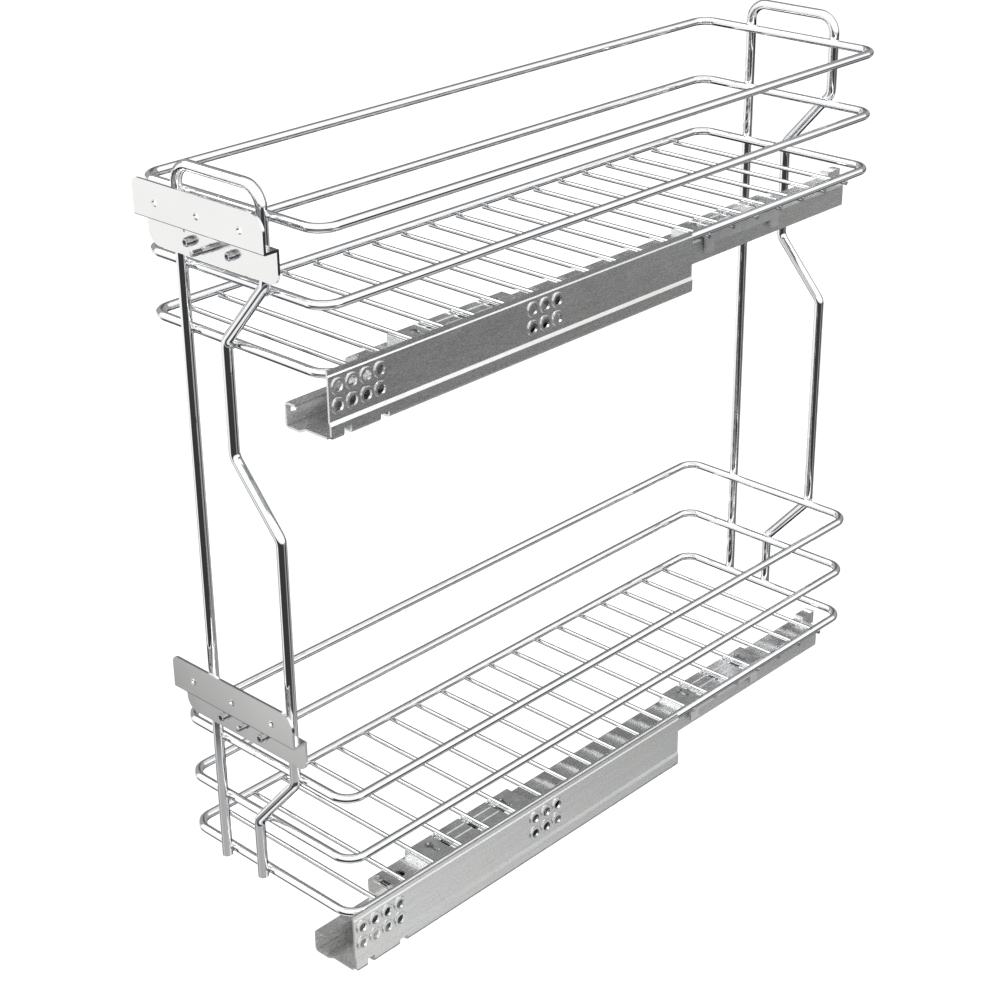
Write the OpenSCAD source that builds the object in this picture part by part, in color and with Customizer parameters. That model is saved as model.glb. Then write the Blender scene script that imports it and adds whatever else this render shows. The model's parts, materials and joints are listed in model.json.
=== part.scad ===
// Pull-out cabinet basket for a narrow kitchen base unit.
// Two chromed wire baskets hang between a front and a back frame of bent rod.
// Both baskets run on full-extension slides that screw to one side wall,
// and two cranked brackets on the front frame carry the cabinet door.
//
// x = 0 is the side wall that the slides screw to, the baskets are at -x.
// y = 0 and z = 0 are the middle of the lower rail's front screw group.
// The door side faces -y.

/* [Baskets] */
// distance between the side wires, centre to centre
basket_width = 134; // [100:1:400]
// distance from the front wire to the back wire, centre to centre
basket_depth = 460; // [400:1:520]
// corner radius of the rims, to the wire's centre
rim_corner = 10.5; // [8:0.5:30]
// wire thickness of the rims
rim_wire = 5; // [4:0.1:8]
// height of the middle rim above the base rim
middle_rim_height = 35; // [20:0.5:60]
// height of the top rim above the base rim
top_rim_height = 73.5; // [50:0.5:120]
// height of the upper basket above the lower one
tier_height = 318; // [200:1:500]

/* [Basket floor] */
// thickness of the cross wires
floor_wire = 2.8; // [2:0.1:5]
// how many cross wires each floor has
floor_wire_count = 19; // [5:1:30]
// first cross wire behind the front wire
floor_wire_first = 23.2; // [15:0.1:60]
// distance between cross wires
floor_wire_pitch = 22.83; // [15:0.01:60]
// how deep each weld sinks one wire into the other
weld_depth = 0.15; // [0.05:0.05:0.5]

/* [Frames] */
// thickness of the bent rod
frame_rod = 6; // [5:0.5:10]
// left leg from the left side wire
leg_left = 35; // [20:1:60]
// outer run of the right leg
leg_outer = 99; // [70:1:120]
// slanted run of each crank in the right leg
crank_run = 43.9; // [20:0.1:60]
// height where the upper crank starts to lean in
upper_crank_z = 361; // [330:1:380]
// height where the middle crank starts to lean out
middle_crank_z = 260; // [200:1:300]
// height where the lower crank starts to lean in
lower_crank_z = 75.5; // [60:0.5:120]
// height of the top bar above the lower base rim
frame_top = 407; // [300:1:600]
// bend radius at the two top corners
frame_corner = 11; // [8:1:30]
// bend radius where the right leg is cranked
frame_crank = 8; // [6:1:20]

/* [Door brackets] */
// bracket width
bracket_width = 98; // [80:1:140]
// sheet thickness
bracket_sheet = 1.5; // [1:0.1:3]
// total height
bracket_height = 37; // [30:1:60]
// how far the door flange stands in front of the fixing flange
bracket_step = 8; // [4:0.5:20]
// distance between the door holes
door_hole_pitch = 32; // [16:1:64]
// door hole diameter
door_hole = 4; // [3:0.1:8]
// lower edge of the upper bracket
upper_bracket_z = 362.5; // [300:0.5:400]
// lower edge of the lower bracket
lower_bracket_z = 90.5; // [60:0.5:200]
// how far the upper bracket's stud stands out
upper_stud = 12.6; // [4:0.5:25]
// how far the lower bracket's stud stands out
lower_stud = 5.5; // [4:0.5:25]

/* [Slides] */
// sheet thickness of the cabinet rail and the runner
rail_sheet = 1.2; // [1:0.1:2]
// length of the cabinet rail
rail_length = 279; // [200:1:450]
// length of the runner
runner_length = 409; // [300:1:500]
// length of the middle member
middle_length = 280; // [200:1:450]
// screw hole in the rail wall
rail_hole = 5.6; // [4:0.1:8]
// collar round each screw hole
rail_collar = 9.1; // [7:0.1:12]
// distance between the two rows of screw holes
hole_row_pitch = 10.3; // [8:0.1:16]
// distance between screw holes along the rail
hole_pitch = 9.4; // [9:0.1:16]
// screw holes in each row of the middle group, centre distance
mid_hole_pitch = 9.7; // [9:0.1:16]

/* [View] */
// which piece to show

/* [Hidden] */
$fn = 48;

chrome = [0.80, 0.81, 0.83];
nickel = [0.86, 0.86, 0.85];
zinc = [0.62, 0.63, 0.64];
steel = [0.70, 0.71, 0.72];
nylon = [0.25, 0.25, 0.27];
pale = [0.85, 0.85, 0.83];

// the side wall and the screw group, seen from the left side wire,
// the front wire and the lower base rim
wall_x = basket_width + 8.4;
group_y = 1.5 * hole_pitch;
group_z = -7.85;

floor_z = -(rim_wire + floor_wire) / 2 + weld_depth;
leg_y = -(rim_wire + frame_rod) / 2 + 2 * weld_depth;
back_leg_y = basket_depth - leg_y;
carrier_face = leg_y - frame_rod / 2 - 2 + weld_depth;
bracket_face = carrier_face - bracket_sheet;
// slant of the cranks, from a 3-4-5 triangle turned six times
crank_angle = 360 - 6 * atan2(4, 3);
bracket_left = basket_width / 2 - bracket_width / 2;
fixing_holes = [basket_width / 2 - 16, basket_width / 2 + 16];
fixing_z = 8.5;
door_hole_z = 26.5;

// slide cross section, measured from the base rim of the same tier
rail_front = -6;
runner_left = 105.5;
runner_right = 124.2;
runner_top = -8.5;
runner_front = 38;
adaptor_top = floor_z - floor_wire / 2 + 0.1;
adaptor_length = 86;
adaptor_right = 126.9;
front_adaptor_y = 67;
rear_adaptor_y = 298;
damper_x = 134;
damper_z = -20.5;
damper_front = 178;

// ---------- placing ----------
module place(tier = 0)
    translate([-wall_x, -group_y, tier * tier_height - group_z]) children();

module box(low, high)
    translate(low) cube([high[0] - low[0], high[1] - low[1], high[2] - low[2]]);

// a drawing in x and z, drawn out from y0 to y1
module along_y(y0, y1)
    translate([0, y1, 0]) rotate([90, 0, 0]) linear_extrude(y1 - y0) children();

// a drawing in y and z, drawn out from x0 to x1
module along_x(x0, x1)
    translate([x0, 0, 0]) rotate([90, 0, 90]) linear_extrude(x1 - x0) children();

module bar_x(x0, x1, y, z, d)
    translate([x0, y, z]) rotate([0, 90, 0]) cylinder(d = d, h = x1 - x0);

module bar_y(y0, y1, x, z, d)
    translate([x, y1, z]) rotate([90, 0, 0]) cylinder(d = d, h = y1 - y0);

// bent sheet seen on edge: the middle line with its thickness
module sheet(line, t) {
    for (i = [0 : len(line) - 2]) {
        a = line[i];
        b = line[i + 1];
        translate(a) rotate(atan2(b[1] - a[1], b[0] - a[0]))
            translate([0, -t / 2]) square([norm(b - a), t]);
    }
    for (i = [1 : len(line) - 2])
        translate(line[i]) circle(d = t);
}

// folded sheet seen on edge, with mitred folds
function square_to(a, b) = [a[1] - b[1], b[0] - a[0]] / norm(b - a);
function mitre(p, i) =
    i == 0 ? square_to(p[0], p[1]) :
    i == len(p) - 1 ? square_to(p[i - 1], p[i]) :
    let (m = square_to(p[i - 1], p[i]), n = square_to(p[i], p[i + 1])) (m + n) / (1 + m * n);
module folded(p, t)
    polygon(concat([for (i = [0 : len(p) - 1]) p[i] + mitre(p, i) * t / 2],
                   [for (i = [len(p) - 1 : -1 : 0]) p[i] - mitre(p, i) * t / 2]));

// middle line of a rounded fold: a quarter turn to the right that starts at angle a
function fold(x, z, r, a) = [for (i = [0 : 4]) [x + r * cos(a - i * 22.5), z + r * sin(a - i * 22.5)]];

// Bent rod in the x and z plane, laid down run by run. It starts upwards.
// Each step is [length, bend after it, bend radius], and a positive bend turns right.
module rod(steps, d, i = 0) {
    length = steps[i][0];
    a = steps[i][1];
    r = steps[i][2];
    cylinder(d = d, h = length);
    if (a != 0)
        translate([0, 0, length]) {
            side = a > 0 ? 1 : -1;
            translate([side * r, 0, 0])
                rotate([90, 0, 0]) rotate([0, 0, a > 0 ? 180 - a : 0])
                    rotate_extrude(angle = abs(a)) translate([r, 0]) circle(d = d);
            translate([side * r, 0, 0]) rotate([0, a, 0]) translate([-side * r, 0, 0])
                rod(steps, d, i + 1);
        }
}

// ---------- baskets ----------
module rim(z) translate([0, 0, z]) {
    w = basket_width;
    l = basket_depth;
    c = rim_corner;
    for (x = [0, w]) bar_y(c, l - c, x, 0, rim_wire);
    for (y = [0, l]) bar_x(c, w - c, y, 0, rim_wire);
    for (q = [[c, c, 180], [w - c, c, 270], [w - c, l - c, 0], [c, l - c, 90]])
        translate([q[0], q[1], 0]) rotate([0, 0, q[2]])
            rotate_extrude(angle = 90) translate([c, 0]) circle(d = rim_wire);
}

module cross_wires()
    for (i = [0 : floor_wire_count - 1])
        bar_x(-1.2, basket_width + 1.2, floor_wire_first + i * floor_wire_pitch, floor_z, floor_wire);

module upper_top_rim() color(chrome) place(1) rim(top_rim_height);
module upper_middle_rim() color(chrome) place(1) rim(middle_rim_height);
module upper_base_rim() color(chrome) place(1) rim(0);
module upper_floor_wires() color(chrome) place(1) cross_wires();
module lower_top_rim() color(chrome) place(0) rim(top_rim_height);
module lower_middle_rim() color(chrome) place(0) rim(middle_rim_height);
module lower_base_rim() color(chrome) place(0) rim(0);
module lower_floor_wires() color(chrome) place(0) cross_wires();

// ---------- frames ----------
module frame() {
    c = frame_corner;
    k = frame_crank;
    a = crank_angle;
    // what one crank takes up in height
    drop = crank_run * cos(a) + 2 * k * sin(a);
    translate([leg_left, 0, -3])
        rod([[frame_top + 3 - c, 90, c],
             [leg_outer - leg_left - 2 * c, 90, c],
             [frame_top - c - upper_crank_z, a, k],
             [crank_run, -a, k],
             [round(10 * (upper_crank_z - drop - middle_crank_z)) / 10, -a, k],
             [crank_run, a, k],
             [round(10 * (middle_crank_z - drop - lower_crank_z)) / 10, a, k],
             [crank_run, -a, k],
             [round(10 * (lower_crank_z - drop + 3)) / 10, 0, 0]], frame_rod);
}
module front_frame() color(chrome) place() translate([0, leg_y, 0]) frame();
module back_frame() color(chrome) place() translate([0, back_leg_y, 0]) frame();

// ---------- door brackets ----------
module carrier(z) difference() {
    box([leg_left - 5.5, carrier_face, z + 1.5], [leg_outer + 5.5, carrier_face + 2, z + 17]);
    for (x = fixing_holes) bar_y(carrier_face - 1, carrier_face + 3, x, z + fixing_z, 5.4);
    bar_y(carrier_face - 1, carrier_face + 3, basket_width / 2, z + fixing_z, 4.4);
}

// what a rounded corner leaves off: centre of the rounding and the side it lies on
module corner_off(x, z, r, right, top, y0, y1)
    along_y(y0, y1) difference() {
        translate([right ? x : x - r - 1, top ? z : z - r - 1]) square(r + 1);
        translate([x, z]) circle(r = r);
    }

module bracket(z) translate([0, 0, z]) difference() {
    t = bracket_sheet;
    w = bracket_width;
    front = bracket_face - bracket_step;
    along_x(bracket_left, bracket_left + w)
        sheet([[bracket_face + t / 2, 0], [bracket_face + t / 2, 18.1],
               [front + t / 2, 18.1], [front + t / 2, bracket_height]], t);
    corner_off(bracket_left + 4, bracket_height - 4, 4, false, true, front - 1, front + t + 1);
    corner_off(bracket_left + w - 9, bracket_height - 9, 9, true, true, front - 1, front + t + 1);
    corner_off(bracket_left + 8, 8, 8, false, false, bracket_face - 1, bracket_face + t + 1);
    corner_off(bracket_left + w - 6, 6, 6, true, false, bracket_face - 1, bracket_face + t + 1);
    for (i = [-1 : 1])
        bar_y(front - 1, front + t + 1, basket_width / 2 + i * door_hole_pitch, door_hole_z, door_hole);
    for (x = fixing_holes) bar_y(bracket_face - 1, bracket_face + t + 1, x, fixing_z, 5.4);
    bar_y(bracket_face - 1, bracket_face + t + 1, basket_width / 2, fixing_z, 4.4);
    // centre punch beside the left screw
    bar_y(bracket_face - 1, bracket_face + 0.5, fixing_holes[0] - 4.5, fixing_z + 4.2, 1.4);
}

// threaded screws with a hexagon socket in the end that stands out
module screws(z)
    for (x = fixing_holes) translate([x, bracket_face - 3.7, z + fixing_z]) rotate([-90, 0, 0])
        difference() {
            union() {
                cylinder(d1 = 4, d2 = 5, h = 0.5);
                translate([0, 0, 0.5]) cylinder(d = 5, h = bracket_sheet + 9.2);
            }
            translate([0, 0, -1]) cylinder(d = 2.9, h = 3.5, $fn = 6);
        }

// threaded stud with a thinner end
module stud(z, out) translate([basket_width / 2, bracket_face - out, z + fixing_z]) rotate([-90, 0, 0]) {
    step = out > 8 ? 6.5 : 2.5;
    cylinder(d1 = 2.5, d2 = 3.3, h = 0.5);
    translate([0, 0, 0.5]) cylinder(d = 3.3, h = step - 0.5);
    translate([0, 0, step]) cylinder(d = 4, h = out - step + bracket_sheet + 6);
}

module nut(x, z, corners, bore) translate([x, carrier_face + 5.2, z + fixing_z]) rotate([90, 0, 0])
    difference() {
        cylinder(d = corners, h = 3.2, $fn = 6);
        translate([0, 0, -1]) cylinder(d = bore, h = 6);
    }
module nuts(z) {
    for (x = fixing_holes) nut(x, z, 9.24, 5.1);
    nut(basket_width / 2, z, 8.08, 4.1);
}

module upper_carrier_plate() color(steel) place() carrier(upper_bracket_z);
module lower_carrier_plate() color(steel) place() carrier(lower_bracket_z);
module upper_door_bracket() color(nickel) place() bracket(upper_bracket_z);
module lower_door_bracket() color(nickel) place() bracket(lower_bracket_z);
module upper_bracket_screws() color(steel) place() screws(upper_bracket_z);
module lower_bracket_screws() color(steel) place() screws(lower_bracket_z);
module upper_clamp_stud() color(steel) place() stud(upper_bracket_z, upper_stud);
module lower_clamp_stud() color(steel) place() stud(lower_bracket_z, lower_stud);
module upper_bracket_nuts() color(steel) place() nuts(upper_bracket_z);
module lower_bracket_nuts() color(steel) place() nuts(lower_bracket_z);

// ---------- adaptor plates under the floor wires ----------
module keyhole(y) {
    translate([112.5, y, adaptor_top - 4]) cylinder(d = 5.4, h = 6);
    box([112.5, y - 1.5, adaptor_top - 4], [118.5, y + 1.5, adaptor_top + 2]);
    translate([118.5, y, adaptor_top - 4]) cylinder(d = 3, h = 6);
}

module adaptor(y0, wires) {
    t = 1.5;
    top = adaptor_top;
    y1 = y0 + adaptor_length;
    difference() {
        union() {
            box([106, y0, top - t], [adaptor_right, y1, top]);
            // front lip down to the runner, and the side flange with its two tabs
            box([106, y0, runner_top], [123.5, y0 + 1.2, top]);
            box([adaptor_right - t, y0 + 7, -13], [adaptor_right, y1 - 8, top]);
            box([adaptor_right - t, y0 + 7, -18.3], [adaptor_right, y0 + 15, top]);
            box([adaptor_right - t, y1 - 16, -18.3], [adaptor_right, y1 - 8, top]);
            // pressed ribs that rest on the runner
            box([109, y0 + 24, runner_top], [111, y0 + 62, top]);
            box([119, y0 + 24, runner_top], [121, y0 + 62, top]);
            // raised ribs between the wires
            for (i = [0 : 1]) for (x = [110.9, 117.4])
                box([x, wires[i] + 2.6, top - 0.2], [x + 1.2, wires[i + 1] - 4.6, top + 0.45]);
        }
        keyhole(y0 + 13.5);
        keyhole(y0 + 74.5);
        for (i = [0 : 2]) {
            box([107.6, wires[i] - 3.9, top - t - 1], [112.2, wires[i] - 2.1, top + 1]);
            box([113.8, wires[i] - 4.5, top - t - 1], [121.6, wires[i] - 1.9, top + 1]);
        }
    }
}
function wire_y(i) = floor_wire_first + i * floor_wire_pitch;

module upper_front_adaptor() color(zinc) place(1) adaptor(front_adaptor_y, [wire_y(3), wire_y(4), wire_y(5)]);
module upper_rear_adaptor() color(zinc) place(1) adaptor(rear_adaptor_y, [wire_y(13), wire_y(14), wire_y(15)]);
module lower_front_adaptor() color(zinc) place(0) adaptor(front_adaptor_y, [wire_y(3), wire_y(4), wire_y(5)]);
module lower_rear_adaptor() color(zinc) place(0) adaptor(rear_adaptor_y, [wire_y(13), wire_y(14), wire_y(15)]);

// ---------- slides ----------
module runner() {
    t = rail_sheet;
    y0 = runner_front;
    y1 = runner_front + runner_length;
    difference() {
        union() {
            along_y(y0, y1)
                folded(concat([[runner_left + t / 2, -16]],
                              fold(runner_left + t / 2 + 1, runner_top - t / 2 - 1, 1, 180),
                              fold(runner_right - t / 2 - 1.4, runner_top - t / 2 - 1.4, 1.4, 90),
                              [[runner_right - t / 2, -23]]), t);
            // front flap, over the lip of the cabinet rail
            along_y(y0, y0 + t)
                polygon([[runner_left + 0.3, -17.6], [runner_left + 0.3, -10.2], [runner_left + 1.6, runner_top - 0.4],
                         [runner_right - 1.9, runner_top - 0.4], [runner_right - 0.3, -10.6], [runner_right - 0.3, -17.6]]);
            // nose tab bent up at the front edge
            box([109.5, y0 + 0.2, runner_top - 0.5], [114.5, y0 + 1.4, runner_top + 1.6]);
            box([109.5, y0 + 0.2, runner_top + 0.5], [111, y0 + 4.2, runner_top + 1.6]);
            // striker for the soft-close catch
            box([runner_right - t, 168, -22.2], [127, 176, -21]);
        }
        translate([116, y0 + 15, runner_top - t - 1]) cylinder(d = 6, h = 4);
        box([113.2, y0 + 1.3, runner_top - t - 1], [119.5, y0 + 5, runner_top + 1]);
        // long relief slots under the adaptor plates
        for (y = [100, 333]) {
            box([113.6, y, runner_top - t - 1], [116.4, y + 20, runner_top + 1]);
            translate([115, y, runner_top - t - 1]) cylinder(d = 2.8, h = 4);
            translate([115, y + 20, runner_top - t - 1]) cylinder(d = 2.8, h = 4);
        }
    }
}

// hook that takes the back end of the basket's adaptor plate
module rear_hook() {
    along_x(113.6, 115.4)
        polygon([[447.2, -12.3], [455.6, -12.3], [455.6, -3.1], [442.8, -3.1], [442.8, runner_top], [447.2, runner_top]]);
    translate([0, 0, -4.6]) linear_extrude(1.5)
        polygon([[109, 442.8], [115.4, 442.8], [115.4, 454.2], [114, 455.6], [110, 455.6], [109, 454.6]]);
    along_x(109, 115.4)
        polygon([[440, runner_top], [447.2, runner_top], [447.2, -12.3], [449.4, -12.3], [449.4, -7.4], [440, -7.4]]);
}

module middle_rail() difference() {
    along_y(45, 45 + middle_length)
        sheet([[107.6, -22], [107.6, -13.2], [121, -13.2], [121, -22.5]], 1);
    for (y = [62, 185, 308]) translate([114.3, y, -15]) cylinder(d = 5, h = 4);
}

// rollers at even distances, in a flat cage
module cage(x0, x1, y0, y1, z, t, count, d, l) difference() {
    box([x0, y0, z - t / 2], [x1, y1, z + t / 2]);
    for (i = [0 : count - 1])
        translate([(x0 + x1) / 2, y0 + (i + 0.5) * (y1 - y0) / count, z])
            cube([l + 0.6, d + 0.6, 4], center = true);
}
module rollers(x0, x1, y0, y1, z, count, d, l)
    for (i = [0 : count - 1])
        bar_x((x0 + x1 - l) / 2, (x0 + x1 + l) / 2, y0 + (i + 0.5) * (y1 - y0) / count, z, d);

module bottom_cage() cage(108.7, 117.6, 100, 220, -15.85, 1.4, 8, 3.7, 5);
module bottom_rollers() rollers(108.7, 117.6, 100, 220, -15.85, 8, 3.7, 5);
module top_cage() cage(108, 121.6, 200, 320, -11.2, 1, 10, 2.4, 9);
module top_rollers() rollers(108, 121.6, 200, 320, -11.2, 10, 2.4, 9);

// screw hole with its collar raised towards the side wall
module collar(y, z) {
    bar_x(basket_width + 6.6, basket_width + 7.3, y, z, rail_collar);
    translate([basket_width + 7.2, y, z]) rotate([0, 90, 0]) cylinder(d1 = rail_collar, d2 = rail_collar - 0.8, h = 1.2);
}
module collar_hole(y, z) {
    bar_x(basket_width + 5, wall_x + 1, y, z, rail_hole);
    bar_x(basket_width + 5, basket_width + 7, y, z, rail_collar - 1.7);
}

module rail_holes(at) {
    for (row = [-1, 1]) {
        for (i = [0 : 3])
            if (at == 0) collar(i * hole_pitch, group_z + row * hole_row_pitch / 2);
            else collar_hole(i * hole_pitch, group_z + row * hole_row_pitch / 2);
        for (i = [-1 : 1])
            if (at == 0) collar(148.7 + i * mid_hole_pitch, group_z + row * hole_row_pitch / 2);
            else collar_hole(148.7 + i * mid_hole_pitch, group_z + row * hole_row_pitch / 2);
    }
}

module cabinet_rail() difference() {
    union() {
        x = basket_width + 7.8;
        along_y(rail_front, rail_front + rail_length)
            folded([[116.4, -18.6], [110.6, -18.6], [109.6, -19], [109.2, -20],
                    [109.2, -30], [109.6, -31], [110.6, -31.4], [119, -31.4],
                    [123.6, -29.2], [x - 1.4, -29.2], [x - 0.4, -28.8], [x, -27.8],
                    [x, -22.2], [x - 0.8, -20.2], [x - 0.8, 3.2], [x - 1.2, 4], [x - 1.2, 6.5]],
                   rail_sheet);
        rail_holes(0);
    }
    rail_holes(1);
    // hole in the inner wall
    bar_x(107, 111, -1.2, -22.9, 3.8);
    // reliefs that leave the feet under the screw groups
    box([131, 2.5, -31], [wall_x + 1, 7.5, -25]);
    box([131, 27, -31], [wall_x + 1, 33, -26.2]);
    // first foot, cut back at its front corner
    along_x(basket_width + 5, wall_x + 1)
        polygon([[rail_front - 1, -31], [rail_front + 2.6, -31], [rail_front, -27.6], [rail_front - 1, -27.6]]);
    // socket of the rear stop
    translate([114, 266.5, -33]) cylinder(d = 4.1, h = 3);
}

module damper_housing() difference() {
    union() {
        box([127.9, damper_front, -28.6], [basket_width + 5.1, 262, -14]);
        box([127.9, damper_front + 6, -14.5], [131, damper_front + 14, -12.6]);
        box([127.9, 240, -14.5], [131, 248, -12.6]);
    }
    bar_y(damper_front - 1, 256, damper_x, damper_z, 7.2);
    box([126, damper_front + 20, -27], [129, 250, -25.6]);
    box([126, damper_front + 20, -24.2], [129, 250, -22.8]);
}

module damper_cylinder() difference() {
    bar_y(186, 256, damper_x, damper_z, 7);
    bar_y(185, 190, damper_x, damper_z, 2.9);
    bar_y(189, 254, damper_x, damper_z, 5.6);
}

module damper_piston() {
    bar_y(172, 248, damper_x, damper_z, 2.5);
    bar_y(247, 250, damper_x, damper_z, 5.2);
}

module damper_catch() difference() {
    union() {
        box([124.9, 169, -26], [138.5, 176, -22.6]);
        box([130, 169, -26], [138.5, 176, -16.5]);
    }
    bar_y(172, 177, damper_x, damper_z, 2.4);
}

module rail_stop() {
    along_x(111.2, 117) polygon([[262, -30.8], [271, -30.8], [271, -24.6], [264.5, -24.6], [262, -27]]);
    translate([114, 266.5, -32]) cylinder(d = 4, h = 2);
}

module upper_runner() color(zinc) place(1) runner();
module lower_runner() color(zinc) place(0) runner();
module upper_rear_hook() color(zinc) place(1) rear_hook();
module lower_rear_hook() color(zinc) place(0) rear_hook();
module upper_slide_middle_rail() color(zinc) place(1) middle_rail();
module lower_slide_middle_rail() color(zinc) place(0) middle_rail();
module upper_slide_bottom_cage() color(pale) place(1) bottom_cage();
module upper_slide_bottom_rollers() color(steel) place(1) bottom_rollers();
module upper_slide_top_cage() color(pale) place(1) top_cage();
module upper_slide_top_rollers() color(steel) place(1) top_rollers();
module lower_slide_bottom_cage() color(pale) place(0) bottom_cage();
module lower_slide_bottom_rollers() color(steel) place(0) bottom_rollers();
module lower_slide_top_cage() color(pale) place(0) top_cage();
module lower_slide_top_rollers() color(steel) place(0) top_rollers();
module upper_cabinet_rail() color(zinc) place(1) cabinet_rail();
module lower_cabinet_rail() color(zinc) place(0) cabinet_rail();
module upper_damper_housing() color(nylon) place(1) damper_housing();
module lower_damper_housing() color(nylon) place(0) damper_housing();
module upper_damper_cylinder() color(steel) place(1) damper_cylinder();
module lower_damper_cylinder() color(steel) place(0) damper_cylinder();
module upper_damper_piston() color(steel) place(1) damper_piston();
module lower_damper_piston() color(steel) place(0) damper_piston();
module upper_damper_catch() color(pale) place(1) damper_catch();
module lower_damper_catch() color(pale) place(0) damper_catch();
module upper_rail_stop() color(nylon) place(1) rail_stop();
module lower_rail_stop() color(nylon) place(0) rail_stop();

upper_top_rim();
upper_middle_rim();
upper_base_rim();
upper_floor_wires();
lower_top_rim();
lower_middle_rim();
lower_base_rim();
lower_floor_wires();
front_frame();
back_frame();
upper_carrier_plate();
lower_carrier_plate();
upper_door_bracket();
lower_door_bracket();
upper_bracket_screws();
lower_bracket_screws();
upper_clamp_stud();
lower_clamp_stud();
upper_bracket_nuts();
lower_bracket_nuts();
upper_front_adaptor();
upper_rear_adaptor();
lower_front_adaptor();
lower_rear_adaptor();
upper_runner();
lower_runner();
upper_rear_hook();
lower_rear_hook();
upper_slide_middle_rail();
lower_slide_middle_rail();
upper_slide_bottom_cage();
upper_slide_bottom_rollers();
upper_slide_top_cage();
upper_slide_top_rollers();
lower_slide_bottom_cage();
lower_slide_bottom_rollers();
lower_slide_top_cage();
lower_slide_top_rollers();
upper_cabinet_rail();
lower_cabinet_rail();
upper_damper_housing();
lower_damper_housing();
upper_damper_cylinder();
lower_damper_cylinder();
upper_damper_piston();
lower_damper_piston();
upper_damper_catch();
lower_damper_catch();
upper_rail_stop();
lower_rail_stop();
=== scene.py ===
import json
import math
import random

import bmesh
import bpy
import numpy as np
from mathutils import Matrix, Vector


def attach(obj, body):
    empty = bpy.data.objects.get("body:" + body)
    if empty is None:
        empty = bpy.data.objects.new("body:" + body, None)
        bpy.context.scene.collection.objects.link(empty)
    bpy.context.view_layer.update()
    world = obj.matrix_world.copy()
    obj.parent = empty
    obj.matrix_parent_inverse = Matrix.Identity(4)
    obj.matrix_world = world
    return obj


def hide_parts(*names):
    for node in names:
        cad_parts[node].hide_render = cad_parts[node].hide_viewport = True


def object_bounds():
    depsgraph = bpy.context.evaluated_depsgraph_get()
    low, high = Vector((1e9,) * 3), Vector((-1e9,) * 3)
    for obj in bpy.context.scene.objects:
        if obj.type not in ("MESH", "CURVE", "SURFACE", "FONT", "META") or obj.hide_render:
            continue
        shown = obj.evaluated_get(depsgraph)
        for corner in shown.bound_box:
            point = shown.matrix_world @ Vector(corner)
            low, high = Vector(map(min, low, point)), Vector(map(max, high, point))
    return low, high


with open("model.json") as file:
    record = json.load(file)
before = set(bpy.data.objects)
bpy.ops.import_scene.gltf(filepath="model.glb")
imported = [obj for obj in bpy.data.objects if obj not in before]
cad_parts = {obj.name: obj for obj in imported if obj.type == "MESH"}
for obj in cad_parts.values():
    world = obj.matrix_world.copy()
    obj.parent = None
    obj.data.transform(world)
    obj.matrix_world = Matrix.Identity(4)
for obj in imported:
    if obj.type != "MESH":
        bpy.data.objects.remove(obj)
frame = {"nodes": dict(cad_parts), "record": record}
NODES = frame["nodes"]
CAD_LO, CAD_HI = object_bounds()

# ------------------------------------------------------------------ the shared frame
# Lengths below are in millimetres from the left side wire, the front wire and the
# lower base rim, as in part.scad, and M() turns them into the row frame.
W, D = 134.0, 460.0
WALL_X, GROUP_Y, GROUP_Z = W + 8.4, 14.1, -7.85
TIER = {"lower": 0.0, "upper": 318.0}
RIM_Z = {"base": 0.0, "middle": 35.0, "top": 73.5}
FLOOR_Z = -3.75
WIRES = [23.2 + 22.83 * i for i in range(19)]
LEG_FRONT, LEG_BACK = -5.2, 465.2
BRACKET_FACE = LEG_FRONT - 3 - 2 + 0.15 - 1.5


def M(x, y, z):
    return Vector(((x - WALL_X) / 1000, (y - GROUP_Y) / 1000, (z - GROUP_Z) / 1000))


def new_object(name, bm, body, material, smooth=True):
    mesh = bpy.data.meshes.new(name)
    if smooth:
        for f in bm.faces:
            f.smooth = True
    bm.to_mesh(mesh)
    bm.free()
    o = bpy.data.objects.new(name, mesh)
    bpy.context.scene.collection.objects.link(o)
    o.data.materials.append(material)
    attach(o, body)
    return o


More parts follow.
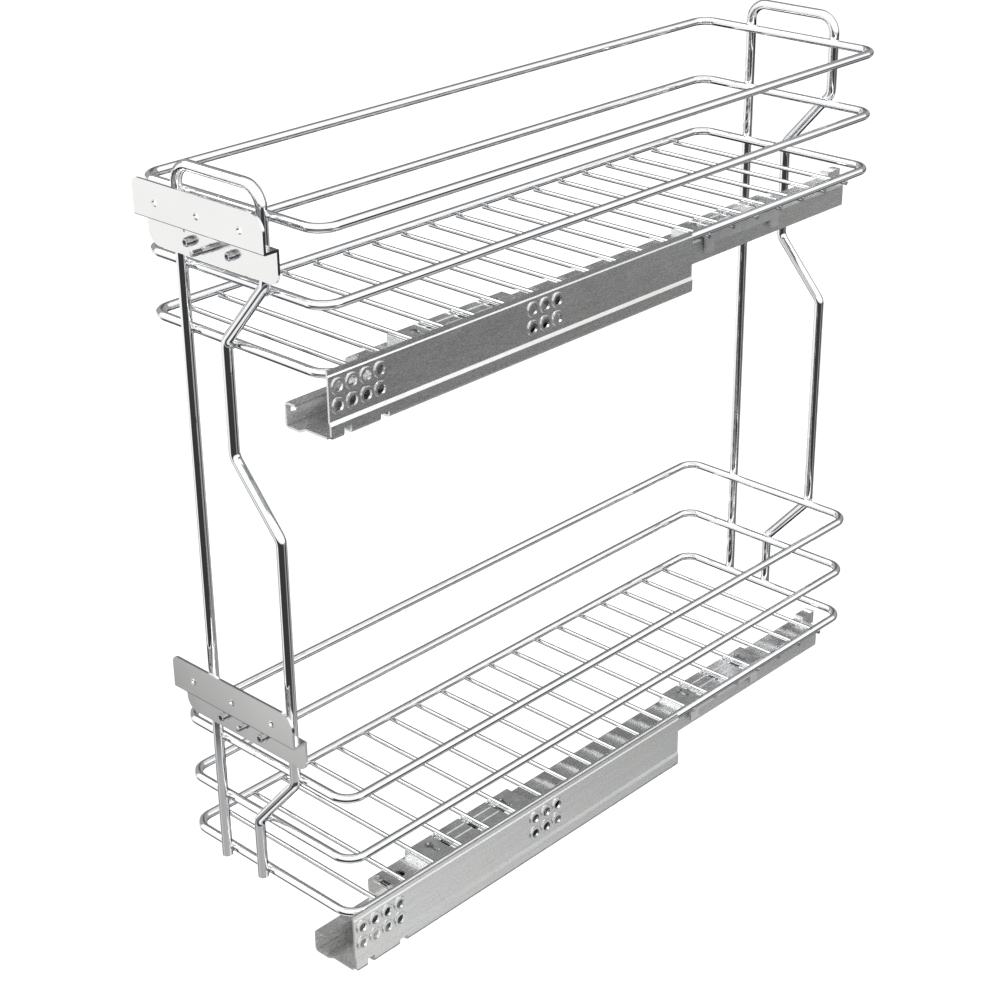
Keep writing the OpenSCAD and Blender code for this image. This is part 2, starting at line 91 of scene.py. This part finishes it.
# ------------------------------------------------------------------ node helpers
class Mat:
    """A node material with one Principled shader, built socket by socket."""

    def __init__(self, name, colour, metallic, roughness, **sockets):
        self.m = bpy.data.materials.new(name)
        self.m.use_nodes = True
        self.m.diffuse_color = (*colour, 1)
        self.t = self.m.node_tree
        self.p = self.t.nodes["Principled BSDF"]
        self.p.inputs["Base Color"].default_value = (*colour, 1)
        self.p.inputs["Metallic"].default_value = metallic
        self.p.inputs["Roughness"].default_value = roughness
        for k, v in sockets.items():
            self.p.inputs[k.replace("_", " ")].default_value = v
        self.coord = self.n("ShaderNodeTexCoord").outputs["Object"]

    def n(self, kind, **props):
        node = self.t.nodes.new(kind)
        for k, v in props.items():
            setattr(node, k, v)
        return node

    def link(self, a, b):
        self.t.links.new(a, b)

    def put(self, node, name, value):
        if isinstance(value, bpy.types.NodeSocket):
            self.link(value, node.inputs[name])
        else:
            node.inputs[name].default_value = value

    def scaled(self, sx, sy, sz):
        m = self.n("ShaderNodeMapping")
        self.link(self.coord, m.inputs["Vector"])
        m.inputs["Scale"].default_value = (sx, sy, sz)
        return m.outputs["Vector"]

    def noise(self, scale, detail=3.0, rough=0.5, vector=None, distortion=0.0):
        t = self.n("ShaderNodeTexNoise")
        self.link(vector or self.coord, t.inputs["Vector"])
        t.inputs["Scale"].default_value = scale
        t.inputs["Detail"].default_value = detail
        t.inputs["Roughness"].default_value = rough
        t.inputs["Distortion"].default_value = distortion
        return t.outputs["Fac"]

    def cells(self, scale, vector=None, feature="F1", out="Color"):
        t = self.n("ShaderNodeTexVoronoi", feature=feature)
        self.link(vector or self.coord, t.inputs["Vector"])
        t.inputs["Scale"].default_value = scale
        return t.outputs[out]

    def span(self, value, a, b, c, d, smooth=False):
        t = self.n("ShaderNodeMapRange")
        if smooth:
            t.interpolation_type = "SMOOTHSTEP"
        self.link(value, t.inputs["Value"])
        for k, v in zip(("From Min", "From Max", "To Min", "To Max"), (a, b, c, d)):
            self.put(t, k, v)
        return t.outputs["Result"]

    def math(self, op, a, b=0.0, clamp=False):
        t = self.n("ShaderNodeMath", operation=op, use_clamp=clamp)
        for i, v in enumerate((a, b)):
            if isinstance(v, bpy.types.NodeSocket):
                self.link(v, t.inputs[i])
            else:
                t.inputs[i].default_value = v
        return t.outputs[0]

    def grey(self, value):
        t = self.n("ShaderNodeCombineColor")
        for k in ("Red", "Green", "Blue"):
            self.link(value, t.inputs[k])
        return t.outputs["Color"]

    def mix(self, fac, a, b, mode="MIX"):
        t = self.n("ShaderNodeMix", data_type="RGBA", blend_type=mode)
        for i, v in ((0, fac), (6, a), (7, b)):
            if isinstance(v, bpy.types.NodeSocket):
                self.link(v, t.inputs[i])
            elif i == 0:
                t.inputs[0].default_value = v
            else:
                t.inputs[i].default_value = (*v, 1)
        return t.outputs[2]

    def colour(self, v):
        self.link(v, self.p.inputs["Base Color"])

    def rough(self, v):
        self.link(v, self.p.inputs["Roughness"])

    def bump(self, height, strength, distance, then=None):
        t = self.n("ShaderNodeBump")
        t.inputs["Strength"].default_value = strength
        t.inputs["Distance"].default_value = distance
        self.link(height, t.inputs["Height"])
        if then is not None:
            self.link(then, t.inputs["Normal"])
        self.link(t.outputs["Normal"], self.p.inputs["Normal"])
        return t.outputs["Normal"]


def chrome_material():
    """Bright chrome on drawn wire: nearly a mirror, with a faint haze, a faint ripple and tiny pits."""
    a = Mat("chrome_wire", (0.88, 0.885, 0.895), 1.0, 0.035)
    haze = a.noise(90, 4, 0.6)
    pits = a.noise(1700, 2, 0.5)
    a.rough(a.math("ADD", a.span(haze, 0.35, 0.7, 0.020, 0.055), a.span(pits, 0.60, 0.8, 0.0, 0.06)))
    tone = a.span(a.noise(35, 3, 0.55), 0.3, 0.7, 0.0, 1.0)
    a.colour(a.mix(tone, (0.86, 0.87, 0.89), (0.91, 0.91, 0.915)))
    a.bump(a.noise(45, 2, 0.5), 0.07, 0.0006)
    return a.m


def thin_wire_material():
    """Thin floor wires, plated less brightly than the frame: greyer and hazier, with drawing streaks."""
    a = Mat("chrome_thin_wire", (0.60, 0.605, 0.615), 1.0, 0.11)
    haze = a.noise(120, 4, 0.6)
    streak = a.noise(2400, 2, 0.5, a.scaled(0.06, 1, 1))
    a.rough(a.math("ADD", a.span(haze, 0.35, 0.7, 0.08, 0.13), a.span(streak, 0.5, 0.8, 0.0, 0.04)))
    a.colour(a.mix(a.span(haze, 0.3, 0.7, 0.0, 1.0), (0.56, 0.565, 0.575), (0.65, 0.655, 0.66)))
    a.bump(streak, 0.05, 0.00003)
    return a.m


def galvanised_material():
    """Cold-rolled sheet with a thin zinc coat: fine grain along the rail, faint spangle, cloudy patches and specks."""
    a = Mat("galvanised_sheet", (0.74, 0.745, 0.75), 0.9, 0.27)
    grain = a.noise(2600, 2, 0.6, a.scaled(1, 0.12, 1))
    drawn = a.noise(900, 3, 0.65, a.scaled(1, 0.018, 1))
    fleck = a.noise(1500, 3, 0.7)
    cloud = a.noise(38, 4, 0.6, a.scaled(1, 0.45, 1), 0.4)
    t = a.n("ShaderNodeSeparateColor")
    a.link(a.cells(210, a.scaled(1, 0.6, 1)), t.inputs["Color"])
    spangle = t.outputs["Red"]
    v = a.span(cloud, 0.3, 0.7, 0.74, 0.79)
    v = a.math("ADD", v, a.span(grain, 0.25, 0.75, -0.04, 0.04))
    v = a.math("ADD", v, a.span(drawn, 0.3, 0.7, -0.05, 0.05))
    v = a.math("ADD", v, a.span(fleck, 0.3, 0.75, -0.05, 0.05))
    v = a.math("ADD", v, a.span(spangle, 0, 1, -0.012, 0.012))
    speck = a.span(a.noise(420, 2, 0.5), 0.70, 0.76, 0.0, 0.16, True)
    v = a.math("SUBTRACT", v, speck, True)
    warm = a.span(a.noise(22, 2, 0.5), 0.35, 0.65, 0.0, 1.0)
    tint = a.mix(warm, (0.985, 0.995, 1.0), (1.0, 0.998, 0.985))
    a.colour(a.mix(1.0, a.grey(v), tint, "MULTIPLY"))
    r = a.math("ADD", a.span(cloud, 0.3, 0.7, 0.260, 0.280), a.span(grain, 0.3, 0.7, -0.04, 0.04))
    a.rough(a.math("ADD", r, a.span(spangle, 0, 1, -0.008, 0.008)))
    first = a.bump(drawn, 0.05, 0.00010)
    second = a.bump(grain, 0.05, 0.00005, first)
    a.bump(fleck, 0.05, 0.00004, second)
    return a.m


def nickel_material():
    """Satin nickel on the door brackets: pale, with a soft vertical brush and slight clouding."""
    a = Mat("satin_nickel", (0.88, 0.88, 0.875), 1.0, 0.17)
    brush = a.noise(1800, 2, 0.6, a.scaled(0.08, 1, 1))
    cloud = a.noise(30, 3, 0.5)
    v = a.math("ADD", a.span(cloud, 0.3, 0.7, 0.82, 0.86), a.span(brush, 0.3, 0.7, -0.006, 0.006))
    a.colour(a.mix(1.0, a.grey(v), (1.0, 0.998, 0.99), "MULTIPLY"))
    a.rough(a.math("ADD", a.span(cloud, 0.3, 0.7, 0.14, 0.19), a.span(brush, 0.3, 0.7, -0.015, 0.015)))
    a.bump(brush, 0.02, 0.00004)
    return a.m


def zinc_material(name, base, rough, scale, metallic=1.0):
    """Bright zinc plate: pale grey with fine handling marks."""
    a = Mat(name, base, metallic, rough)
    mark = a.noise(scale, 4, 0.65)
    fine = a.noise(scale * 9, 2, 0.5)
    a.colour(a.mix(a.span(mark, 0.3, 0.7, 0, 1), tuple(0.90 * c for c in base), tuple(min(1, 1.08 * c) for c in base)))
    a.rough(a.math("ADD", a.span(mark, 0.3, 0.7, rough - 0.06, rough + 0.07), a.span(fine, 0.5, 0.8, 0, 0.06)))
    a.bump(fine, 0.04, 0.00003)
    return a.m


def plastic_material(name, base, rough, lift):
    """Moulded plastic with a fine spark-eroded grain and slight flow marks."""
    a = Mat(name, base, 0.0, rough, Specular_IOR_Level=0.45)
    grain = a.noise(2600, 2, 0.5)
    flow = a.noise(45, 3, 0.5, a.scaled(1, 0.35, 1))
    a.colour(a.mix(a.span(flow, 0.3, 0.7, 0, 1), tuple(c * (1 - lift) for c in base), tuple(min(1, c * (1 + lift)) for c in base)))
    a.rough(a.span(grain, 0.3, 0.7, rough - 0.06, rough + 0.08))
    a.bump(grain, 0.15, 0.00008)
    return a.m


def weld_material():
    """Chromed weld flash: like the wire, but lumpy and hazier."""
    a = Mat("chromed_weld", (0.80, 0.805, 0.82), 1.0, 0.16)
    lump = a.noise(700, 3, 0.6)
    a.rough(a.span(lump, 0.3, 0.7, 0.10, 0.26))
    a.colour(a.mix(a.span(lump, 0.35, 0.65, 0, 1), (0.70, 0.71, 0.73), (0.86, 0.865, 0.875)))
    a.bump(lump, 0.35, 0.0002)
    return a.m


CHROME = chrome_material()
THIN = thin_wire_material()
WELD = weld_material()
GALV = galvanised_material()
NICKEL = nickel_material()
PLATE = zinc_material("zinc_plate", (0.80, 0.805, 0.81), 0.18, 120, 0.84)
SCREW = zinc_material("zinc_screw", (0.60, 0.605, 0.62), 0.20, 420)
ROLLER = zinc_material("ground_steel", (0.74, 0.75, 0.76), 0.16, 900)
NYLON = plastic_material("dark_nylon", (0.045, 0.046, 0.050), 0.48, 0.10)
ACETAL = plastic_material("white_acetal", (0.72, 0.715, 0.69), 0.38, 0.03)
BY_SLOT = {
    "chrome": CHROME, "nickel_plate": NICKEL, "zinc_plate": PLATE, "zinc_screw": SCREW,
    "galvanised": GALV, "roller_steel": ROLLER, "dark_nylon": NYLON, "white_acetal": ACETAL,
}

for part in frame["record"]["subparts"]:
    o = NODES[part["node"]]
    o.data.materials.clear()
    o.data.materials.append(THIN if part["node"].endswith("_floor_wires") else BY_SLOT[part["material_slot"]])

# ------------------------------------------------------------------ threaded screws and studs
def turned(bm, axis_x, axis_z, start, rings, around=48):
    """Skin over rings of points: each ring is (y, [radius at each step round])."""
    loops = []
    for y, radii in rings:
        loop = []
        for k in range(around):
            t = 2 * math.pi * k / around
            loop.append(bm.verts.new(M(axis_x + radii[k] * math.cos(t), start + y, axis_z + radii[k] * math.sin(t))))
        loops.append(loop)
    for a, b in zip(loops, loops[1:]):
        for k in range(around):
            j = (k + 1) % around
            bm.faces.new((a[k], b[k], b[j], a[j]))
    return loops


def thread_rings(y0, y1, major, pitch, depth, taper=0.45, steps=7, around=48):
    """A rolled thread: rounded crests and roots climbing once round per pitch, run out at both ends."""
    n = max(4, int(round((y1 - y0) / pitch * steps)))
    out = []
    for i in range(n + 1):
        y = y0 + (y1 - y0) * i / n
        ease = min(1.0, (y - y0) / taper, (y1 - y) / taper) if i not in (0, n) else 0.0
        row = []
        for k in range(around):
            u = ((y / pitch) - k / around) % 1.0
            tooth = min(1.0, max(0.0, (abs(2 * u - 1) - 0.12) / 0.72))
            row.append(major / 2 - depth * (1 - ease * (1 - tooth)) if ease < 1 else major / 2 - depth * tooth)
        out.append((y, row))
    return out


def plain(y, r, around=48):
    return (y, [r] * around)


def hexagon(y, flats, around=48):
    r = []
    for k in range(around):
        t = (2 * math.pi * k / around) % (math.pi / 3) - math.pi / 6
        r.append(flats / 2 / math.cos(t))
    return (y, r)


def closed(bm, loop, flip=False):
    bm.faces.new(loop if flip else loop[::-1])


def threaded_object(name, bm, node, sharp=34):
    bmesh.ops.recalc_face_normals(bm, faces=bm.faces)
    o = new_object(name, bm, "pullout", SCREW)
    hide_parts(node)
    o.data.set_sharp_from_angle(angle=math.radians(sharp))
    return o


BRACKET_Z = {"upper": 362.5, "lower": 90.5}
STUD_OUT = {"upper": 12.6, "lower": 5.5}
for tier, z0 in BRACKET_Z.items():
    z = z0 + 8.5
    bm = bmesh.new()
    for x in (51.0, 83.0):
        start, end = BRACKET_FACE - 3.7, BRACKET_FACE + 7.5
        rings = [hexagon(2.45, 2.5), hexagon(0.0, 2.5), plain(0.0, 1.80), plain(0.05, 1.98)]
        rings += thread_rings(0.5, end - start - 0.45, 5.0, 0.8, 0.30)
        rings += [plain(end - start, 1.95)]
        loops = turned(bm, x, z, start, rings)
        closed(bm, loops[0])
        closed(bm, loops[-1])
    threaded_object(tier + "_threaded_screws", bm, tier + "_bracket_screws")
    bm = bmesh.new()
    out = STUD_OUT[tier]
    step = 6.5 if out > 8 else 2.5
    end = out + 7.5
    rings = [plain(0.0, 1.15), plain(0.06, 1.28), plain(0.5, 1.62)]
    rings += [plain(step * f, 1.62 - 0.05 * math.sin(9 * f)) for f in (0.3, 0.55, 0.8)]
    rings += [plain(step - 0.15, 1.62), plain(step, 1.75)]
    rings += thread_rings(step + 0.05, end - 0.4, 4.0, 0.7, 0.26)
    rings += [plain(end, 1.5)]
    loops = turned(bm, 67.0, z, BRACKET_FACE - out, rings)
    closed(bm, loops[0])
    closed(bm, loops[-1])
    threaded_object(tier + "_threaded_stud", bm, tier + "_clamp_stud")


# ------------------------------------------------------------------ welds
def bead(bm, centre, radii, seed, lump=0.12):
    """One squeezed-out lump of weld metal: rounded, uneven, longer one way than the other."""
    g = random.Random(seed)
    ph = [g.uniform(0, 6.28) for _ in range(5)]
    tilt = g.uniform(-0.25, 0.25)
    for v in bmesh.ops.create_icosphere(bm, subdivisions=3, radius=1.0)["verts"]:
        n = v.co.copy()
        k = 1 + lump * (math.sin(3.7 * n.x + ph[0]) * math.sin(3.1 * n.z + ph[1]) + 0.5 * math.sin(6.9 * n.y + ph[2]) * math.cos(5.7 * n.x + ph[3]))
        x, y, z = n.x * radii[0] * k, n.y * radii[1] * k, n.z * radii[2] * k
        v.co = M(centre[0] + x + tilt * z, centre[1] + y, centre[2] + z - tilt * x)


# where the two legs stand at each rim: the left one is straight, the right one is cranked
LEG_AT = {
    ("lower", "base"): (35.0, 66.1), ("lower", "middle"): (35.0, 66.8), ("lower", "top"): (35.0, 98.7),
    ("upper", "base"): (35.0, 66.1), ("upper", "middle"): (35.0, 94.6), ("upper", "top"): (35.0, 99.0),}

for tier, dz in TIER.items():
    for rim, z in RIM_Z.items():
        bm = bmesh.new()
        for side, (ly, wy) in enumerate(((LEG_FRONT, 0.0), (LEG_BACK, D))):
            for leg in (0, 1):
                x = LEG_AT[(tier, rim)][leg]
                mid = (ly * 2.5 + wy * 3.0) / 5.5
                bead(bm, (x, mid, z + dz), (2.9, 0.95, 2.7), "%s%s%d%d" % (tier, rim, side, leg))
        new_object("%s_%s_rim_welds" % (tier, rim), bm, "pullout", WELD)
    bm = bmesh.new()
    for i, y in enumerate(WIRES):
        for x in (0.0, W):
            bead(bm, (x, y, FLOOR_Z + dz + 1.35), (1.6, 1.5, 0.55), "%s%d%d" % (tier, i, x))
    new_object(tier + "_floor_welds", bm, "pullout", WELD)


# ------------------------------------------------------------------ butt seams in the hoops
def seam(bm, x, y, z, seed):
    """The ring of upset metal where the hoop's two ends were butt-welded, ground almost flush."""
    g = random.Random(seed)
    ph = g.uniform(0, 6.28)
    around = 40
    rows = []
    for dx, lift in ((-0.55, -0.05), (-0.36, 0.07), (-0.14, 0.13), (0.02, 0.05), (0.10, 0.05), (0.26, 0.12), (0.44, 0.06), (0.6, -0.05)):
        rows.append([bm.verts.new(M(x + dx + 0.08 * math.sin(t + ph), y + (2.5 + lift * (1 + 0.3 * math.sin(3 * t + ph))) * math.cos(t),
                                    z + (2.5 + lift * (1 + 0.3 * math.sin(3 * t + ph))) * math.sin(t)))
                     for t in (2 * math.pi * k / around for k in range(around))])
    for a, b in zip(rows, rows[1:]):
        for k in range(around):
            j = (k + 1) % around
            bm.faces.new((a[k], a[j], b[j], b[k]))
    closed(bm, rows[0])
    closed(bm, rows[-1], True)
    bmesh.ops.recalc_face_normals(bm, faces=bm.faces)


for tier, dz in TIER.items():
    for rim, z in RIM_Z.items():
        bm = bmesh.new()
        seam(bm, 62.0, 0.0, z + dz, tier + rim)
        new_object("%s_%s_rim_seam" % (tier, rim), bm, "pullout", CHROME)

# Sheet, screws and mouldings get their small edge radii from a bevel, which only adds to the look.
BEVEL = {
    "_cabinet_rail": 0.22, "_runner": 0.22, "_adaptor": 0.2, "_slide_middle_rail": 0.18,
    "_door_bracket": 0.28, "_carrier_plate": 0.25, "_bracket_screws": 0.3, "_bracket_nuts": 0.25,
    "_rear_hook": 0.3, "_damper_housing": 0.4, "_damper_catch": 0.3, "_rail_stop": 0.3,
}
for name, o in NODES.items():
    for tail, size in BEVEL.items():
        if tail in name:
            b = o.modifiers.new("edge", "BEVEL")
            b.width = size / 1000
            b.segments = 2
            b.limit_method = "ANGLE"
            b.angle_limit = math.radians(40)
            b.use_clamp_overlap = True
            b.harden_normals = False
            n = o.modifiers.new("flat", "WEIGHTED_NORMAL")
            n.mode = "FACE_AREA"
            n.weight = 50
            n.keep_sharp = True
            break

# ------------------------------------------------------------------ camera
cam_data = bpy.data.cameras.new("camera")
cam = bpy.data.objects.new("camera", cam_data)
bpy.context.scene.collection.objects.link(cam)
bpy.context.scene.camera = cam
F, CX, CY = 2088.59, 500.0, 450.0
az, el, roll = math.radians(43.444), math.radians(24.450), math.radians(-0.635)
right = Vector((math.cos(az), math.sin(az), 0))
ahead = Vector((-math.sin(az) * math.cos(el), math.cos(az) * math.cos(el), -math.sin(el)))
up = right.cross(ahead)
r2 = right * math.cos(roll) + up * math.sin(roll)
u2 = -right * math.sin(roll) + up * math.cos(roll)
cam.matrix_world = Matrix.Translation(M(833.95, -618.24, 701.21)) @ Matrix((
    (r2.x, u2.x, -ahead.x), (r2.y, u2.y, -ahead.y), (r2.z, u2.z, -ahead.z))).to_4x4()
cam_data.sensor_width = 36.0
cam_data.lens = F / 1000 * 36.0
cam_data.shift_x = (500 - CX) / 1000
cam_data.shift_y = (CY - 500) / 1000
cam_data.clip_start, cam_data.clip_end = 0.01, 50

# ------------------------------------------------------------------ studio
bpy.context.scene.view_settings.view_transform = "Standard"
bpy.context.scene.view_settings.look = "None"
world = bpy.data.worlds.new("studio")
bpy.context.scene.world = world
world.use_nodes = True
wt = world.node_tree
wt.nodes.clear()


def wn(kind, **props):
    n = wt.nodes.new(kind)
    for k, v in props.items():
        setattr(n, k, v)
    return n


def wrange(value, a, b, c, d):
    t = wn("ShaderNodeMapRange", interpolation_type="SMOOTHSTEP")
    wt.links.new(value, t.inputs["Value"])
    for k, v in zip(("From Min", "From Max", "To Min", "To Max"), (a, b, c, d)):
        t.inputs[k].default_value = v
    return t.outputs["Result"]


def wmath(op, a, b):
    t = wn("ShaderNodeMath", operation=op)
    for i, v in enumerate((a, b)):
        if isinstance(v, bpy.types.NodeSocket):
            wt.links.new(v, t.inputs[i])
        else:
            t.inputs[i].default_value = v
    return t.outputs[0]


direction = wn("ShaderNodeTexCoord").outputs["Generated"]
split = wn("ShaderNodeSeparateXYZ")
wt.links.new(direction, split.inputs[0])
Z = split.outputs["Z"]
flat = wn("ShaderNodeCombineXYZ")
wt.links.new(split.outputs["X"], flat.inputs["X"])
wt.links.new(split.outputs["Y"], flat.inputs["Y"])
unit = wn("ShaderNodeVectorMath", operation="NORMALIZE")
wt.links.new(flat.outputs[0], unit.inputs[0])


def dot(source, vector):
    t = wn("ShaderNodeVectorMath", operation="DOT_PRODUCT")
    wt.links.new(source, t.inputs[0])
    t.inputs[1].default_value = vector
    return t.outputs["Value"]


def blend(fac, a, b):
    """a where fac is 0, b where it is 1."""
    t = wn("ShaderNodeMix", data_type="FLOAT")
    for i, v in ((0, fac), (2, a), (3, b)):
        if isinstance(v, bpy.types.NodeSocket):
            wt.links.new(v, t.inputs[i])
        else:
            t.inputs[i].default_value = v
    return t.outputs[0]


def ramp(value, stops):
    """Grey level by heading: stops are (degrees, level)."""
    t = wn("ShaderNodeValToRGB")
    e = t.color_ramp.elements
    while len(e) > 1:
        e.remove(e[-1])
    for i, (deg, lev) in enumerate(stops):
        k = e[0] if i == 0 else e.new(0.5 + deg / 360)
        k.position = 0.5 + deg / 360
        k.color = (lev, lev, lev, 1)
    wt.links.new(value, t.inputs["Fac"])
    return t.outputs["Color"]


# The studio, by heading: 0 is straight away from the photographer, +90 to the right and -90 to
# the left. White cloth all round above, a white floor straight below, a pale cloth on the left,
# a pale board on the right, and dark studio between them and behind the object, which is what
# draws the dark lines along both edges of bright chrome wire.
heading = wmath("DEGREES", wmath("ARCTAN2", dot(unit.outputs[0], (0.7261, 0.6876, 0)), dot(unit.outputs[0], (-0.6876, 0.7261, 0))), 0.0)
turn = wmath("ADD", wmath("DIVIDE", heading, 360.0), 0.5)
low = ramp(turn, [(-180, 0.04), (-116, 0.04), (-106, 0.95), (68, 0.95), (83, 0.85), (90, 0.32), (124, 0.30), (134, 0.04), (180, 0.04)])
steep = ramp(turn, [(-180, 0.40), (-130, 0.40), (-112, 0.52), (-80, 0.52), (-30, 0.8), (60, 0.95), (98, 0.95), (130, 0.42), (180, 0.40)])
low = blend(wrange(Z, -0.545, -0.515, 1.0, 0.0), low, steep)
under = ramp(turn, [(-180, 0.06), (-30, 0.06), (20, 0.5), (60, 0.95), (98, 0.95), (120, 0.06), (180, 0.06)])
low = blend(wrange(Z, -0.66, -0.58, 1.0, 0.0), low, under)
low = blend(wrange(Z, -0.88, -0.80, 1.0, 0.0), low, 0.85)
level = blend(wrange(Z, -0.12, 0.02, 0.0, 1.0), low, 1.0)
level = blend(wrange(dot(direction, (-0.7410, -0.3850, -0.5500)), 0.973, 0.9975, 0.0, 1.0), level, 0.13)
level = blend(wrange(dot(direction, (0.7380, 0.5990, -0.3110)), 0.950, 0.982, 0.0, 1.0), level, 0.02)
lowright = wmath("MULTIPLY", wrange(heading, 20.0, 60.0, 0.0, 0.15), wrange(Z, -0.25, -0.10, 1.0, 0.0))
behind = wrange(wmath("SUBTRACT", dot(direction, (-0.6260, 0.6611, -0.4139)), lowright), 0.11, 0.21, 0.0, 1.0)
behind = wmath("MULTIPLY", behind, wrange(Z, -0.20, 0.08, 1.0, 0.66))
spill = wmath("MULTIPLY", wrange(dot(direction, (0.4900, 0.6500, -0.5800)), 0.93, 0.975, 0.0, 0.5), wrange(Z, -0.52, -0.47, 1.0, 0.0))
behind = wmath("MULTIPLY", behind, wmath("SUBTRACT", 1.0, spill))
patch = wrange(dot(direction, (-0.9116, 0.0200, -0.4106)), 0.925, 0.950, 1.0, 0.0)
beside = wrange(heading, -74.0, -60.0, 0.0, 1.0)
level = blend(wmath("MULTIPLY", wmath("MULTIPLY", behind, patch), beside), level, 0.0)
# grey card high behind, for the flat tops, and a grey flag low on the right, for the upright legs
level = blend(wrange(dot(direction, (-0.5910, 0.6800, 0.4340)), 0.945, 0.980, 0.0, 1.0), level, 0.12)
flag = wmath("MULTIPLY", wrange(heading, 6.0, 14.0, 0.0, 1.0), wrange(heading, 70.0, 78.0, 1.0, 0.0))
flag = wmath("MULTIPLY", flag, wmath("MULTIPLY", wrange(Z, -0.54, -0.50, 0.0, 1.0), wrange(Z, -0.28, -0.22, 1.0, 0.0)))
level = blend(flag, level, 0.38)
bg = wn("ShaderNodeBackground")
tone = wn("ShaderNodeCombineColor")
for k in ("Red", "Green", "Blue"):
    wt.links.new(level, tone.inputs[k])
wt.links.new(tone.outputs[0], bg.inputs["Color"])
bg.inputs["Strength"].default_value = 1.12
seen = wn("ShaderNodeBackground")
seen.inputs["Color"].default_value = (1, 1, 1, 1)
seen.inputs["Strength"].default_value = 1.0
pick = wn("ShaderNodeMixShader")
wt.links.new(wn("ShaderNodeLightPath").outputs["Is Camera Ray"], pick.inputs["Fac"])
wt.links.new(bg.outputs[0], pick.inputs[1])
wt.links.new(seen.outputs[0], pick.inputs[2])
wt.links.new(pick.outputs[0], wn("ShaderNodeOutputWorld").inputs["Surface"])

# pale floor, only its top side shows
fm = bpy.data.materials.new("studio_floor")
fm.use_nodes = True
ft = fm.node_tree
fp = ft.nodes["Principled BSDF"]
fp.inputs["Base Color"].default_value = (0.93, 0.93, 0.93, 1)
fp.inputs["Roughness"].default_value = 0.9
fp.inputs["Specular IOR Level"].default_value = 0.1
fp.inputs["Emission Color"].default_value = (1, 1, 1, 1)
fp.inputs["Emission Strength"].default_value = 0.16
clear = ft.nodes.new("ShaderNodeBsdfTransparent")
fmix = ft.nodes.new("ShaderNodeMixShader")
geo = ft.nodes.new("ShaderNodeNewGeometry")
ft.links.new(geo.outputs["Backfacing"], fmix.inputs["Fac"])
ft.links.new(fp.outputs[0], fmix.inputs[1])
ft.links.new(clear.outputs[0], fmix.inputs[2])
ft.links.new(fmix.outputs[0], ft.nodes["Material Output"].inputs["Surface"])
bm = bmesh.new()
floor_z = CAD_LO.z - 0.16
corners = [bm.verts.new((x, y, floor_z)) for x, y in ((-9, -9), (9, -9), (9, 9), (-9, 9))]
bm.faces.new(corners)
fmesh = bpy.data.meshes.new("floor")
bm.to_mesh(fmesh)
bm.free()
fmesh.materials.append(fm)
floor = bpy.data.objects.new("floor", fmesh)
bpy.context.scene.collection.objects.link(floor)
floor.visible_glossy = False


def softbox(name, size, place, at, power):
    l = bpy.data.lights.new(name, "AREA")
    l.shape = "RECTANGLE"
    l.size, l.size_y = size
    l.energy = power
    o = bpy.data.objects.new(name, l)
    bpy.context.scene.collection.objects.link(o)
    o.location = place
    o.rotation_mode = "QUATERNION"
    o.rotation_quaternion = (Vector(at) - Vector(place)).to_track_quat("-Z", "Y")
    return o


MID = (CAD_LO + CAD_HI) / 2
softbox("key_left", (1.2, 1.2), MID + Vector((-1.3, -0.9, 1.6)), MID, 14)
softbox("key_right", (0.9, 1.4), MID + Vector((1.6, 0.4, 1.0)), MID, 9)
